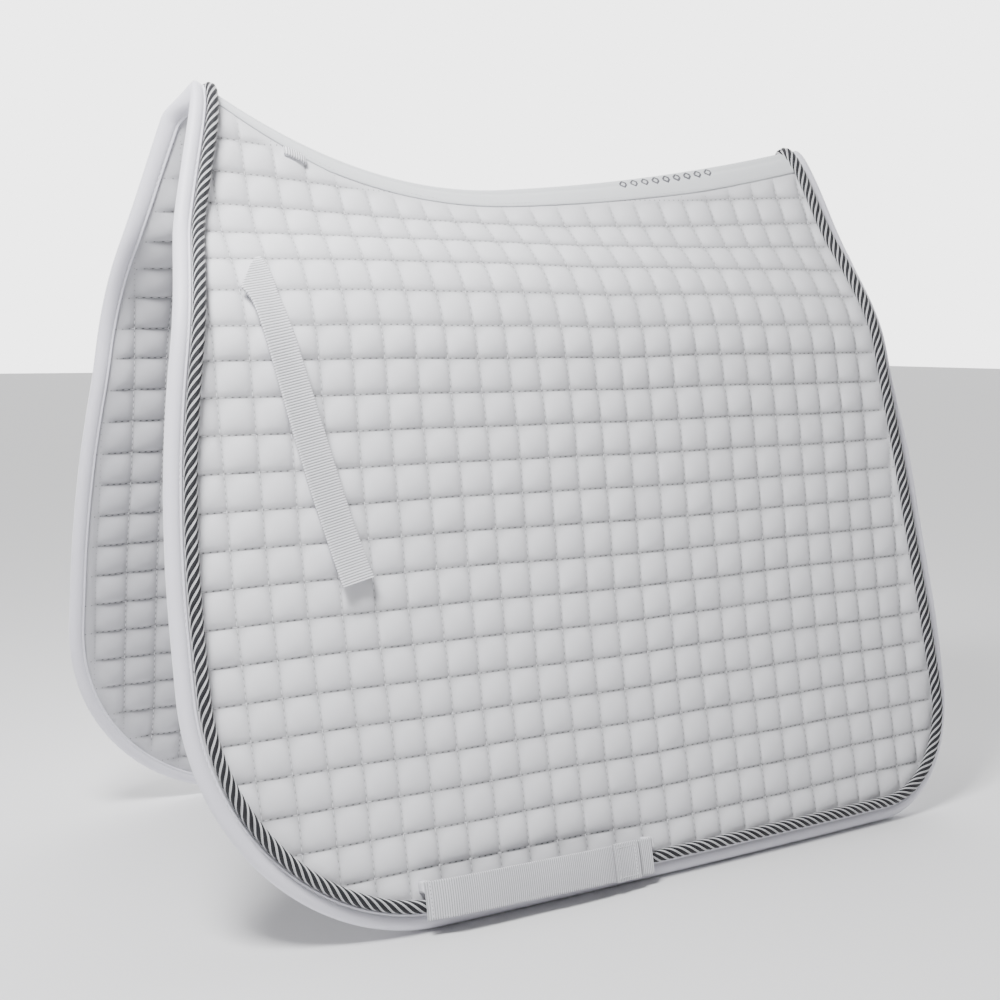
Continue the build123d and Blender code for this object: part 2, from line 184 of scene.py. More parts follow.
def at(x, s, n=0.0, side=1):
    """Points of one side of the pad, in millimetres."""
    x, s, n = (np.asarray(v, float) for v in np.broadcast_arrays(x, s, n))
    n = n + rear_flare(x, s)
    mitre = n / math.tan(math.radians(CREST_ANGLE))
    u = s - mitre * np.clip(1 - (s - crest_s(x)) / MITRE_REACH, 0, 1)
    i = np.clip((x - XS[0]) / X_STEP, 0, len(XS) - 1.001)
    j = np.clip((u - SS[0]) / S_STEP, 0, len(SS) - 1.001)
    i0, j0 = i.astype(int), j.astype(int)
    fi, fj = (i - i0)[..., None], (j - j0)[..., None]
    t = ((1 - fi) * (1 - fj) * TABLE[i0, j0] + fi * (1 - fj) * TABLE[i0 + 1, j0]
         + (1 - fi) * fj * TABLE[i0, j0 + 1] + fi * fj * TABLE[i0 + 1, j0 + 1])
    y = t[..., 0] + n * t[..., 2]
    z = t[..., 1] + n * t[..., 3]
    y = np.maximum(y, CLEAR)
    z = z - (np.hypot(y, RIDGE_ROUND) - y) * math.tan(math.radians(90 - CREST_ANGLE))
    if side > 0:
        flare = far_flare(x, s)
        return np.stack([x - FAR_FLARE_X * flare, y + FAR_FLARE_Y * flare, z], -1)
    return np.stack([x, -y, z], -1)


def s_of_height(x, z):
    """s of the point at height z on the middle surface at x."""
    i = np.clip((np.asarray(x, float) - XS[0]) / X_STEP, 0, len(XS) - 1.001)
    i0 = i.astype(int)
    f = (i - i0)[:, None]
    column = (1 - f) * TABLE[i0, :, 1] + f * TABLE[i0 + 1, :, 1]
    return np.array([np.interp(-zz, -c, SS) for zz, c in zip(z, column)])


def arc(cx, cz, radius, start, end):
    """Points of an arc between two angles in degrees."""
    count = max(4, int(abs(radius * math.radians(end - start)) / 2))
    a = np.radians(np.linspace(start, end, count))
    return np.stack([cx + radius * np.cos(a), cz + radius * np.sin(a)], -1)


def outline():
    """Dense line (x, s) round one side from the spine in front to the spine behind, with inward normals."""
    lean, top_lean = math.radians(REAR_LEAN), math.radians(REAR_TOP_LEAN)
    sweep = arc(FRONT_X + FRONT_SWEEP, FRONT_UPRIGHT_Z, FRONT_SWEEP, 180 - FRONT_LEAN, 180)
    front_lean = math.radians(FRONT_LEAN)
    peak = sweep[0] + PAST_FRONT_PEAK * np.array([math.sin(front_lean), math.cos(front_lean)])
    front_corner = arc(FRONT_X + FRONT_CORNER, FRONT_CORNER, FRONT_CORNER, 180, 270)
    foot = REAR_X + REAR_CORNER * math.tan(lean)
    centre = foot - REAR_CORNER * (1 + math.sin(lean)) / math.cos(lean)
    rear_corner = arc(centre, REAR_CORNER, REAR_CORNER, -90, REAR_LEAN)
    rear_fold = np.array([foot - FOLD_Z * math.tan(lean), FOLD_Z])
    rear_peak = rear_fold + PAST_REAR_PEAK * np.array([-math.sin(top_lean), math.cos(top_lean)])
    corners = np.concatenate([[peak], sweep, front_corner, rear_corner, [rear_fold], [rear_peak]])
    line = resample(corners, 2.0)
    line = line[line[:, 1] < spine_height(line[:, 0]) + CUT_ABOVE_SPINE]
    flat = np.stack([line[:, 0], s_of_height(line[:, 0], line[:, 1])], -1)
    flat = smooth(resample(flat, OUTLINE_PITCH), 5)
    tangent = unit(np.gradient(flat, axis=0))
    return flat, np.stack([tangent[:, 1], -tangent[:, 0]], -1)


def resample(line, pitch):
    """The same line with points at an even pitch."""
    along = lengths(line)
    places = np.linspace(0, along[-1], int(along[-1] / pitch) + 1)
    return np.stack([np.interp(places, along, line[:, k]) for k in range(line.shape[1])], -1)


def smooth(line, width):
    """Running mean of the points of a line, which keeps its two ends."""
    pad = width // 2
    long = np.concatenate([2 * line[:1] - line[pad:0:-1], line, 2 * line[-1:] - line[-2:-pad - 2:-1]])
    kernel = np.ones(width) / width
    return np.stack([np.convolve(long[:, k], kernel, "valid") for k in range(line.shape[1])], -1)


EDGE, EDGE_IN = outline()
in_front = EDGE[(EDGE[:, 0] < -200) & (EDGE[:, 1] < 300)]
FRONT_LINE = in_front[np.argsort(in_front[:, 1])]
behind = EDGE[(EDGE[:, 0] > 200) & (EDGE[:, 1] < 460)]
REAR_LINE = behind[np.argsort(behind[:, 1])]


def inset(x, s):
    """How far (x, s) lies inside the outline, and the inward direction there."""
    flat = np.stack([x.ravel(), s.ravel()], -1)
    far = np.empty(len(flat))
    way = np.empty_like(flat)
    edge = EDGE[::2]
    normal = EDGE_IN[::2]
    for k in range(0, len(flat), 8000):
        gap = flat[k:k + 8000, None] - edge[None]
        near = (gap**2).sum(-1).argmin(1)
        rows = np.arange(len(near))
        way[k:k + 8000] = normal[near]
        far[k:k + 8000] = (gap[rows, near] * normal[near]).sum(-1)
    return far.reshape(x.shape), way.reshape(x.shape + (2,))


# ---- meshes
def make(name, points, faces, cloth, material, flip=False, flat=False, merge=0.0):
    """A mesh object from points in millimetres and lists of faces. cloth is its place on the fabric."""
    mesh = bpy.data.meshes.new(name)
    rows = [f for block in faces for f in (block[:, ::-1] if flip else block).tolist()]
    mesh.from_pydata((points * MM).tolist(), [], rows)
    attribute = mesh.attributes.new("cloth", "FLOAT_VECTOR", "POINT")
    attribute.data.foreach_set("vector", np.ascontiguousarray(cloth, np.float32).ravel())
    if merge:
        merge_doubles(mesh, merge)
    mesh.polygons.foreach_set("use_smooth", [not flat] * len(mesh.polygons))
    mesh.materials.append(material)
    mesh.update()
    obj = bpy.data.objects.new(name, mesh)
    bpy.context.scene.collection.objects.link(obj)
    return obj


def merge_doubles(mesh, distance):
    """Merges doubled points, so that squeezed cells leave no faces without area."""
    bm = bmesh.new()
    bm.from_mesh(mesh)
    bmesh.ops.remove_doubles(bm, verts=bm.verts, dist=distance * MM)
    bmesh.ops.dissolve_degenerate(bm, edges=bm.edges, dist=distance * MM)
    bmesh.ops.recalc_face_normals(bm, faces=bm.faces)
    bm.to_mesh(mesh)
    bm.free()


def shell(name, outer, inner, cloth, material, side, keep=None, flat=False, merge=0.0):
    """A closed sheet between two grids of points. keep says which grid cells it has."""
    rows, cols = outer.shape[:2]
    keep = np.ones((rows - 1, cols - 1), bool) if keep is None else keep
    index = np.arange(rows * cols).reshape(rows, cols)
    quads = np.stack([index[:-1, :-1], index[1:, :-1], index[1:, 1:], index[:-1, 1:]], -1)[keep]
    count = rows * cols
    sides = np.concatenate([quads[:, [k, (k + 1) % 4]] for k in range(4)])
    forward = sides[:, 0].astype(np.int64) * count + sides[:, 1]
    backward = sides[:, 1].astype(np.int64) * count + sides[:, 0]
    rim = sides[~np.isin(forward, backward)]
    walls = np.stack([rim[:, 1], rim[:, 0], rim[:, 0] + count, rim[:, 1] + count], -1)
    under = quads[:, ::-1] + count
    used = np.zeros(2 * count, bool)
    used[quads.ravel()] = True
    used[under.ravel()] = True
    renumber = np.cumsum(used) - 1
    points = np.concatenate([outer.reshape(-1, 3), inner.reshape(-1, 3)])[used]
    place = np.concatenate([cloth.reshape(-1, 3)] * 2)[used]
    faces = [renumber[quads], renumber[under], renumber[walls]]
    return make(name, points, faces, place, material, flip=side < 0, flat=flat, merge=merge)


def tube(rings):
    """Points and faces of one closed tube through rings: an array (places, round, 3)."""
    places, around = rings.shape[:2]
    index = np.arange(places * around).reshape(places, around)
    following = np.roll(index, -1, 1)
    walls = np.stack([index[:-1], following[:-1], following[1:], index[1:]], -1).reshape(-1, 4)
    return rings.reshape(-1, 3), [walls, index[0][::-1][None], index[-1][None]]


CAPSULE_T = (-0.72, 0.0, 0.72)      # a stitch's rings along its half length
CAPSULE_R = (0.8, 1.0, 0.8)         # and their share of its radius


def stitches(name, centres, along, length, radius, material, side, round_count=5, dip=1.0):
    """Thread stitches lying on the cloth. centres are (x, s, n), along their directions in (x, s).

    dip sinks a stitch's ends into the cloth by that share of its radius, negative on the lining.
    """
    count = len(centres)
    a = 2 * np.pi * np.arange(round_count) / round_count
    template = [(-length / 2, 0.0, 0.0)]
    for t, r in zip(CAPSULE_T, CAPSULE_R):
        template += [(t * length / 2, r * radius * math.cos(b), r * radius * math.sin(b)) for b in a]
    template.append((length / 2, 0.0, 0.0))
    local = np.array(template)
    local[:, 2] -= dip * radius * (2 * local[:, 0] / length) ** 2
    across = np.stack([-along[:, 1], along[:, 0]], -1)
    flat = (centres[:, None, :2] + local[None, :, 0:1] * along[:, None]
            + local[None, :, 1:2] * across[:, None])
    n = centres[:, None, 2] + local[None, :, 2]
    points = at(flat[..., 0], flat[..., 1], n, side).reshape(-1, 3)
    k = np.arange(round_count)
    nxt = (k + 1) % round_count
    last = len(template) - 1
    start = [1 + round_count * r for r in range(3)]
    tips = np.concatenate([np.stack([0 * k, start[0] + nxt, start[0] + k], -1),
                           np.stack([0 * k + last, start[2] + k, start[2] + nxt], -1)])
    body = np.concatenate([np.stack([start[r] + k, start[r] + nxt, start[r + 1] + nxt,
                                     start[r + 1] + k], -1) for r in (0, 1)])
    shift = (np.arange(count) * len(template))[:, None, None]
    faces = [(body[None] + shift).reshape(-1, 4), (tips[None] + shift).reshape(-1, 3)]
    cloth = np.concatenate([flat, n[..., None]], -1).reshape(-1, 3)
    return make(name, points, faces, cloth, material, flip=side < 0)


# ---- materials
def set_sockets(shader, sockets):
    for socket, value in sockets.items():
        shader.inputs[socket].default_value = value


def node(tree, kind, place, sockets=None, **values):
    """A shader node at this place in the tree's drawing, with its settings."""
    made = tree.nodes.new(kind)
    made.location = place
    for key, value in values.items():
        setattr(made, key, value)
    set_sockets(made, sockets or {})
    return made


def calc(tree, operation, a, b=None, c=None, clamp=False):
    """The output of a Math node, whose inputs are numbers or other outputs."""
    made = node(tree, "ShaderNodeMath", (0, 0), operation=operation, use_clamp=clamp)
    for k, value in enumerate((a, b, c)):
        if value is None:
            continue
        if isinstance(value, (int, float)):
            made.inputs[k].default_value = value
        else:
            tree.links.new(value, made.inputs[k])
    return made.outputs[0]


QUILT = 25.4                # stitched rows, down the pad
QUILT_LONG = 25.06          # stitched columns, along the pad
QUILT_X = -25.0             # one of the columns
STITCH = 4.9
ROW_HOLE, COLUMN_HOLE = 0.72, 0.6           # size of the painted shade spots at the needle holes along the rows and the columns
# painted shade at the needle holes: the column holes take this share of it, and the cloth is painted this
# much darker
COLUMN_HOLE_SHARE, HOLE_SHADE = 0.6, 0.62
GROOVE_TOP, GROOVE_DEPTH = 4.1, 2.5         # cloth below this height is painted darker, as painted groove shade, fully at this depth below it
KEEP_POSITIVE = 10000       # repeats added to a coordinate before it is folded


def spots(tree, coordinate, other, pitch, stitch, offset, other_offset, size):
    """1 at the needle holes along seams of one direction, 0 elsewhere: the mask of their painted shade."""
    across = calc(tree, "ADD", coordinate, KEEP_POSITIVE * pitch - offset)
    seam = calc(tree, "PINGPONG", across, pitch / 2)
    place = calc(tree, "ADD", other, KEEP_POSITIVE * stitch - other_offset)
    hole = calc(tree, "PINGPONG", place, stitch / 2)
    far = calc(tree, "ADD", calc(tree, "POWER", seam, 2.0), calc(tree, "POWER", hole, 2.0))
    return calc(tree, "SUBTRACT", 1.0, calc(tree, "DIVIDE", far, size * size), clamp=True)


def material(name, colour, roughness, sheen=0.2, metallic=0.0, weave=(0.9, 0.9), weave_depth=0.25,
             tone=0.05, quilted=False, groove_shade=0.0, fibre=0.4, rib=0.0, rib_shade=0.0):
    """Cloth or thread: uneven tone, woven relief, fibre noise, and painted shade in grooves, needle holes
    and rib valleys. weave holds its pitches in mm.

    rib is the pitch of ribs across the length, and rib_shade how much darker their valleys are painted, as
    painted shade.
    """
    mat = bpy.data.materials.new(name)
    mat.use_nodes = True
    tree = mat.node_tree
    shader = tree.nodes["Principled BSDF"]
    set_sockets(shader, {"Roughness": roughness, "Metallic": metallic, "Sheen Weight": sheen,
                         "Sheen Roughness": 0.45, "Specular IOR Level": 0.35})
    place = node(tree, "ShaderNodeAttribute", (-1200, 0), attribute_name="cloth")
    split = node(tree, "ShaderNodeSeparateXYZ", (-1000, 0))
    tree.links.new(place.outputs["Vector"], split.inputs[0])
    x, s, n = split.outputs

    cloudy = node(tree, "ShaderNodeTexNoise", (-800, 300), {"Scale": 0.02, "Detail": 4.0})
    tree.links.new(place.outputs["Vector"], cloudy.inputs["Vector"])
    fluff = node(tree, "ShaderNodeTexNoise", (-800, 0), {"Scale": 1.6, "Detail": 3.0})
    tree.links.new(place.outputs["Vector"], fluff.inputs["Vector"])

    shade = calc(tree, "MULTIPLY_ADD", cloudy.outputs["Fac"], 2 * tone, 1.0 - tone)
    mottle = calc(tree, "MULTIPLY_ADD", fluff.outputs["Fac"], tone, 1.0 - tone / 2)
    shade = calc(tree, "MULTIPLY", shade, mottle)
    # painted shade: the cloth's colour darkens in the quilting grooves, where shade falls
    if groove_shade:
        below = calc(tree, "SUBTRACT", GROOVE_TOP, n)
        depth = calc(tree, "DIVIDE", below, GROOVE_DEPTH, clamp=True)
        painted_groove_shade = calc(tree, "MULTIPLY", calc(tree, "POWER", depth, 2.0), groove_shade)
        shade = calc(tree, "MULTIPLY", shade, calc(tree, "SUBTRACT", 1.0, painted_groove_shade))
    # painted shade: the cloth is painted darker at the needle holes of the quilting
    if quilted:
        rows = spots(tree, s, x, QUILT, STITCH, 0.0, QUILT_X, ROW_HOLE)
        columns = spots(tree, x, s, QUILT_LONG, STITCH, QUILT_X, 0.0, COLUMN_HOLE)
        columns = calc(tree, "MULTIPLY", columns, COLUMN_HOLE_SHARE)
        holes = calc(tree, "MAXIMUM", rows, columns)
        shade = calc(tree, "MULTIPLY", shade, calc(tree, "MULTIPLY_ADD", holes, -HOLE_SHADE, 1.0))
    # painted shade: the rib valleys are darkened in colour, unevenly, where shade falls between the ribs
    if rib:
        wave = calc(tree, "SINE", calc(tree, "MULTIPLY", x, 2 * math.pi / rib))
        valley = calc(tree, "MULTIPLY_ADD", wave, -0.5, 0.5)
        uneven = calc(tree, "MULTIPLY_ADD", fluff.outputs["Fac"], 1.2, 0.4)
        valley = calc(tree, "MULTIPLY", calc(tree, "POWER", valley, 2.0), uneven)
        shade = calc(tree, "MULTIPLY", shade, calc(tree, "MULTIPLY_ADD", valley, -rib_shade, 1.0))
    mix = node(tree, "ShaderNodeMix", (-300, 200), data_type="RGBA", blend_type="MULTIPLY")
    set_sockets(mix, {"Factor": 1.0, "A": (*colour, 1)})
    tint = node(tree, "ShaderNodeCombineColor", (-500, 200))
    for k in range(3):
        tree.links.new(shade, tint.inputs[k])
    tree.links.new(tint.outputs[0], mix.inputs["B"])
    tree.links.new(mix.outputs["Result"], shader.inputs["Base Color"])

    rough = calc(tree, "MULTIPLY_ADD", fluff.outputs["Fac"], 0.16, roughness - 0.08)
    tree.links.new(rough, shader.inputs["Roughness"])

    warp = calc(tree, "SINE", calc(tree, "MULTIPLY", x, 2 * math.pi / weave[0]))
    weft = calc(tree, "SINE", calc(tree, "MULTIPLY", s, 2 * math.pi / weave[1]))
    woven = calc(tree, "MULTIPLY", warp, weft)
    height = calc(tree, "ADD", calc(tree, "MULTIPLY", woven, weave_depth),
                  calc(tree, "MULTIPLY", fluff.outputs["Fac"], fibre))
    bump = node(tree, "ShaderNodeBump", (-200, -200), {"Strength": 0.35, "Distance": 0.0004})
    tree.links.new(height, bump.inputs["Height"])
    tree.links.new(bump.outputs["Normal"], shader.inputs["Normal"])
    return mat


# groove_shade paints shade into the quilting grooves of the cover and the lining
cotton = material("cover_cotton", (0.80, 0.80, 0.83), 0.82, sheen=0.25, quilted=True, groove_shade=0.5)
# the lining is painted darker than the cover: painted shade, for the shade on the far flap's inner side
lining = material("lining_cotton", (0.58, 0.58, 0.61), 0.86, sheen=0.2, quilted=True, groove_shade=0.5)
satin = material("binding_satin", (0.80, 0.79, 0.87), 0.42, sheen=0.35, weave=(1.3, 1.3),
                 weave_depth=0.12, tone=0.04, fibre=0.15)
tape = material("spine_tape_satin", (0.77, 0.79, 0.81), 0.55, sheen=0.2, weave=(0.8, 2.0),
                weave_depth=0.1, tone=0.03, fibre=0.2)
dark_cord = material("rope_charcoal", (0.012, 0.012, 0.016), 0.5, sheen=0.05, weave=(0.6, 0.6),
                     weave_depth=0.8, tone=0.3, fibre=0.8)
silver_cord = material("rope_silver", (0.72, 0.72, 0.74), 0.38, sheen=0.2, metallic=0.15,
                       weave=(0.5, 0.5), weave_depth=0.6, tone=0.15, fibre=0.4)
# one webbing in two copies: the strap's is painted lighter than the girth loop's, painted light that makes
# the strap stand out
webbing = material("strap_webbing", (0.88, 0.88, 0.92), 0.62, sheen=0.2, weave=(1.9, 0.9),
                   weave_depth=0.5, tone=0.05, rib=1.9, rib_shade=0.62)
loop_webbing = material("loop_webbing", (0.77, 0.77, 0.81), 0.7, sheen=0.2, weave=(1.68, 0.9),
                        weave_depth=0.5, tone=0.08, rib=1.68, rib_shade=0.55)
thread = material("thread_white", (0.82, 0.82, 0.85), 0.6, sheen=0.1, weave=(0.4, 0.4), weave_depth=0.3)
grey_thread = material("thread_grey", (0.13, 0.13, 0.15), 0.5, sheen=0.1, weave=(0.5, 0.5),
                       weave_depth=0.5)
hook = material("hook_and_loop", (0.70, 0.70, 0.73), 0.9, sheen=0.6, weave=(0.7, 0.7),
                weave_depth=0.9, fibre=1.4)


# ---- quilting
SEAM_N, PUFF_N = 1.6, 5.5   # height of the cloth in a seam and on top of a pillow
CELLS_X, CELLS_S = 44, 32   # pillows that have a swell and a lean of their own
FIRST_X, FIRST_S = 16, 6    # how many of them come before the pillow at (QUILT_X, 0)
swell = rng.normal(0.0, 0.28, (CELLS_X, CELLS_S))
lean_x = rng.normal(0.0, 0.05, (CELLS_X, CELLS_S))
SEAM_CREASE = 0.5           # a column's seam rises this much between two rows


def drift_s(x, s):
    """How far a stitched row wanders down the pad: it climbs to the rear, and dips over the crest."""
    rear = -0.8 - 9.0 * np.clip((x - 20) / 290, 0, 1)
    arch = 1.6 * np.exp(-((s - 80) / 16) ** 2) - 2.6 * np.exp(-((s - 12) / 28) ** 2)
    wander = 0.55 * np.sin(x / 61 + s / 37) + 0.35 * np.sin(x / 23 - s / 71 + 1.0)
    return rear + arch + 0.7 * wander


def drift_x(x, s):
    """How far a stitched column wanders along the pad: it bows, and leans at the front hem."""
    middle = np.interp(s, [-60, -20, 40, 100, 160, 220, 280, 340], [-8, -5, -0.5, 1.4, 4, 3.3, 1.6, 0.4])
    front = np.interp(s, [280, 400], [1.2, 4.5])
    back = ease((x + 210) / 170)
    wander = 0.45 * np.sin(s / 53 + x / 41) + 0.3 * np.sin(s / 19 + x / 29 + 2.0)
    return back * middle + (1 - back) * front + 0.7 * wander


def pillow(t, skew):
    """Height across a pillow, from 0 at one seam to 0 at the next; skew moves its top along."""
    t = np.clip(t, 0, 1)
    return np.sin(np.pi * t**skew) ** 0.6


def puff(x, s):
    """Height of the quilted cloth off the middle of the pad, at the flat place (x, s)."""
    gx = (x - QUILT_X) / QUILT_LONG
    gs = s / QUILT
    whole_x, whole_s = np.floor(gx + 1e-6), np.floor(gs + 1e-6)
    cx = np.clip(whole_x.astype(int) + FIRST_X, 0, CELLS_X - 1)
    cs = np.clip(whole_s.astype(int) + FIRST_S, 0, CELLS_S - 1)
    full = PUFF_N - SEAM_N + swell[cx, cs]
    across = pillow(gx - whole_x, 1.12 + lean_x[cx, cs])
    down = pillow(gs - whole_s, 1.18)
    return SEAM_N + full * across * down + SEAM_CREASE * (1 - across) * down


def grid_lines(low, high, pitch, offset):
    """Grid lines closer together near the seams, where the cloth turns most."""
    marks = np.array([0.0, 0.05, 0.13, 0.27, 0.45, 0.64, 0.8, 0.93])
    cells = np.arange(math.floor((low - offset) / pitch), math.ceil((high - offset) / pitch) + 1)
    lines = (offset + pitch * (cells[:, None] + marks[None])).ravel()
    return lines[(lines > low - pitch) & (lines < high + pitch)]


GRID_X_RANGE, GRID_S_RANGE = (-360, 360), (-150, 525)
TUCK, SNAP = 6.5, 1.35      # the panel's edge lies this deep; grid points this near are moved to it
EDGE_N, EDGE_FLAT, EDGE_EASE = 3.4, 15.0, 8         # the cloth is flat near the edge, under the rope
TAPE_BED_N, TAPE_BED_PAST, TAPE_BED_EASE = 4.0, 0.5, 9      # and flat under the spine tape


def tape_drop(x):
    """How far the spine tape reaches down the cloth from the spine line: it narrows to the front."""
    return np.interp(x, [-290, -257, -214, -180, -100, 0, 100, 160, 265],
                     [7.5, 8.0, 11.0, 13.9, 14.4, 16.0, 17.4, 18.5, 17.5])


def quilted_grid():
    """Flat grid, its place and height on the pad, and which cells are kept: for cover and lining."""
    gx = grid_lines(*GRID_X_RANGE, QUILT_LONG, QUILT_X)
    gs = grid_lines(*GRID_S_RANGE, QUILT, 0.0)
    flat_x, flat_s = np.meshgrid(gx, gs, indexing="ij")
    x = flat_x + drift_x(flat_x, flat_s)
    s = flat_s + drift_s(flat_x, flat_s)
    depth, way = inset(x, s)
    close = np.abs(depth - TUCK) < SNAP
    x = np.where(close, x + (TUCK - depth) * way[..., 0], x)
    s = np.where(close, s + (TUCK - depth) * way[..., 1], s)
    depth = np.where(close, TUCK, depth)
    top = crest_s(x)
    over = s < top + 0.7
    inside = depth > TUCK - 0.01
    keep = inside[:-1, :-1] & inside[1:, :-1] & inside[1:, 1:] & inside[:-1, 1:]
    keep &= ~(over[:-1, :-1] & over[1:, :-1] & over[1:, 1:] & over[:-1, 1:])
    s = np.where(over, top, s)
    n = puff(flat_x, flat_s)
    n = EDGE_N + (n - EDGE_N) * np.clip((depth - EDGE_FLAT) / EDGE_EASE, 0.0, 1)
    past_tape = s - top - tape_drop(x) - TAPE_BED_PAST
    n = TAPE_BED_N + (n - TAPE_BED_N) * ease(past_tape / TAPE_BED_EASE)
    return flat_x, flat_s, x, s, n, keep


FLAT_X, FLAT_S, GRID_X, GRID_S, GRID_N, KEEP = quilted_grid()
SEWN_DEPTH, SEWN_PAST_TAPE, THREAD_LIFT = 13, 2, 0.12
CLOTH_BACK = 0.05           # the unseen face of the cover and the lining, off the middle of the pad


def seam_places(rows):
    """Places and directions of the quilting stitches, along the rows or along the columns."""
    if rows:
        lines = QUILT * np.arange(-6, 22)
        places = QUILT_X + STITCH * (np.arange(-72, 80) + 0.5)
        s, x = (v.ravel() for v in np.meshgrid(lines, places))
        along = np.tile([1.0, 0.0], (len(x), 1))
    else:
        lines = QUILT_X + QUILT_LONG * np.arange(-14, 16)
        places = STITCH * (np.arange(-30, 106) + 0.5)
        x, s = (v.ravel() for v in np.meshgrid(lines, places))
        along = np.tile([0.0, 1.0], (len(x), 1))
    real_x = x + drift_x(x, s)
    real_s = s + drift_s(x, s)
    depth, _ = inset(real_x, real_s)
    inside = (depth > SEWN_DEPTH) & (real_s > crest_s(real_x) + tape_drop(real_x) + SEWN_PAST_TAPE)
    centres = np.stack([real_x, real_s, puff(x, s) + THREAD_LIFT], -1)[inside]
    return centres, along[inside]


ROW_STITCHES, COLUMN_STITCHES = seam_places(True), seam_places(False)
SEAM_STITCHES = (np.concatenate([ROW_STITCHES[0], COLUMN_STITCHES[0]]),
                 np.concatenate([ROW_STITCHES[1], COLUMN_STITCHES[1]]))


def bends(obj):
    """Bakes the piece's placement into its mesh points."""
    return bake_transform(obj)


def quilted(side_name):
    """Cover and lining of one side, each with its quilting thread."""
    side = SIDES[side_name]
    cloth = np.stack([FLAT_X, FLAT_S, GRID_N], -1)
    for name, sign, mat in (("cover", 1, cotton), ("lining", -1, lining)):
        outer = at(GRID_X, GRID_S, sign * GRID_N, side)
        inner = at(GRID_X, GRID_S, sign * CLOTH_BACK, side)
        piece = shell(f"{side_name}_{name}_quilted", outer, inner, cloth, mat, side * sign, KEEP, merge=0.02)
        bends(piece)
        nodes = [f"{side_name}_{name}", f"{side_name}_upper_{name}"]
        if sign > 0:
            nodes += [f"{side_name}_wadding", f"{side_name}_upper_wadding"]
        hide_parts(*nodes)
        centres, along = SEAM_STITCHES
        places = centres * np.array([1, 1, sign])
        sewn = stitches(f"{side_name}_{name}_quilting_thread", places, along, 3.5, 0.3, thread, side,
                        round_count=5 if sign > 0 else 4, dip=sign)
        bends(sewn)


# ---- edge binding and rope
BINDING_PROFILE = [         # in from the edge, height; the outer half, the inner one mirrors it
    (0.0, 0.0), (0.25, 1.6), (0.9, 3.0), (2.0, 4.2), (3.4, 5.0), (5.0, 5.45), (6.8, 5.5), (8.4, 5.2),
    (9.15, 4.75), (9.5, 4.45), (9.9, 4.75), (10.6, 5.0), (11.2, 4.7), (11.35, 3.6)]


BINDING_MIDDLE, BINDING_PAST_SPINE = 5.5, 6.0
HEM_INSET, HEM_PITCH, HEM_N = 9.5, 4.4, 4.62        # the binding's hem stitching
BINDING_PITCH = 2 * OUTLINE_PITCH


def edge_rings():
    """Places along the outline, from the spine in front to the spine behind, that rings can use."""
    middle = EDGE + BINDING_MIDDLE * EDGE_IN
    keep = np.flatnonzero(middle[:, 1] >= crest_s(middle[:, 0]) - BINDING_PAST_SPINE)
    return EDGE[keep[0]:keep[-1] + 1], EDGE_IN[keep[0]:keep[-1] + 1]


RING_AT, RING_IN = edge_rings()


def binding(side_name):
    """The filled satin edge binding of one side, with a hem stitched on each face."""
    side = SIDES[side_name]
    profile = BINDING_PROFILE + [(e, -n) for e, n in BINDING_PROFILE[:0:-1]]
    e = np.array([p[0] for p in profile])
    n = np.array([p[1] for p in profile])
    places = RING_AT[::2]
    inward = RING_IN[::2]
    arc_length = BINDING_PITCH * np.arange(len(places))
    ripple = 1 + 0.018 * np.sin(arc_length / 17.0) + 0.012 * np.sin(arc_length / 7.3 + 1)
    x = places[:, None, 0] + e[None] * inward[:, None, 0]
    s = places[:, None, 1] + e[None] * inward[:, None, 1]
    s = np.maximum(s, crest_s(x))
    rings = at(x, s, n[None] * ripple[:, None], side)
    points, faces = tube(rings)
    cloth = np.stack([arc_length[:, None] + 0 * x, 0 * x + e[None] * 3, 0 * x + n[None]], -1)
    piece = make(f"{side_name}_binding", points, faces, cloth.reshape(-1, 3), satin, merge=0.02)
    bends(piece)
    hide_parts(f"{side_name}_edge_binding", f"{side_name}_binding_filler", "front_arch_binding",
                "rear_arch_binding", "front_arch_binding_filler", "rear_arch_binding_filler")
    for face, sign in (("outer", 1), ("inner", -1)):
        line = resample(RING_AT + HEM_INSET * RING_IN, HEM_PITCH)
        line = line[line[:, 1] > crest_s(line[:, 0]) + 3]
        along = unit(np.gradient(line, axis=0))
        centres = np.concatenate([line, np.full((len(line), 1), sign * HEM_N)], 1)
        sewn = stitches(f"{side_name}_binding_thread_{face}", centres, along, 3.1, 0.34, thread, side,
                        dip=sign)
        bends(sewn)


ROPE_INSET, ROPE_N, ROPE_LAY, STRANDS = 15.7, 8.7, 37.0, 5
ROPE_REAR_TOP_INSET = 4.0   # the rope lies this much farther in on the rear arch
ROPE_STEP, SPINE_TURN = 1.2, 12     # ring pitch, and the rings past the spine that smooth it


def rope_line(side):
    """Centreline of one side's rope with its frame: tangent, outward, sideways."""
    rear_top = ease((EDGE[:, :1] - 150) / 60) * ease((80 - EDGE[:, 1:]) / 120)
    flat = EDGE + (ROPE_INSET + ROPE_REAR_TOP_INSET * rear_top) * EDGE_IN
    flat = resample(flat, ROPE_STEP)
    inside = np.flatnonzero(flat[:, 1] >= crest_s(flat[:, 0]))
    flat = flat[inside[0]:inside[-1] + 1]
    flat[0, 1] = crest_s(flat[:1, 0])[0]
    flat[-1, 1] = crest_s(flat[-1:, 0])[0]
    line = at(flat[:, 0], flat[:, 1], ROPE_N, side)
    out = at(flat[:, 0], flat[:, 1], ROPE_N + 1, side) - line
    other = line * np.array([1, -1, 1])
    whole = np.concatenate([other[SPINE_TURN:0:-1], line, other[-2:-SPINE_TURN - 2:-1]])
    for _ in range(3):
        whole = smooth(whole, 7)
    line = whole[SPINE_TURN:-SPINE_TURN]
    line[[0, -1], 1] = 0.0
    tangent = np.gradient(line, axis=0)
    tangent[[0, -1], 2] = 0.0
    tangent = unit(tangent)
    out = unit(out - (out * tangent).sum(1, keepdims=True) * tangent)
    return line, tangent, out, np.cross(tangent, out)


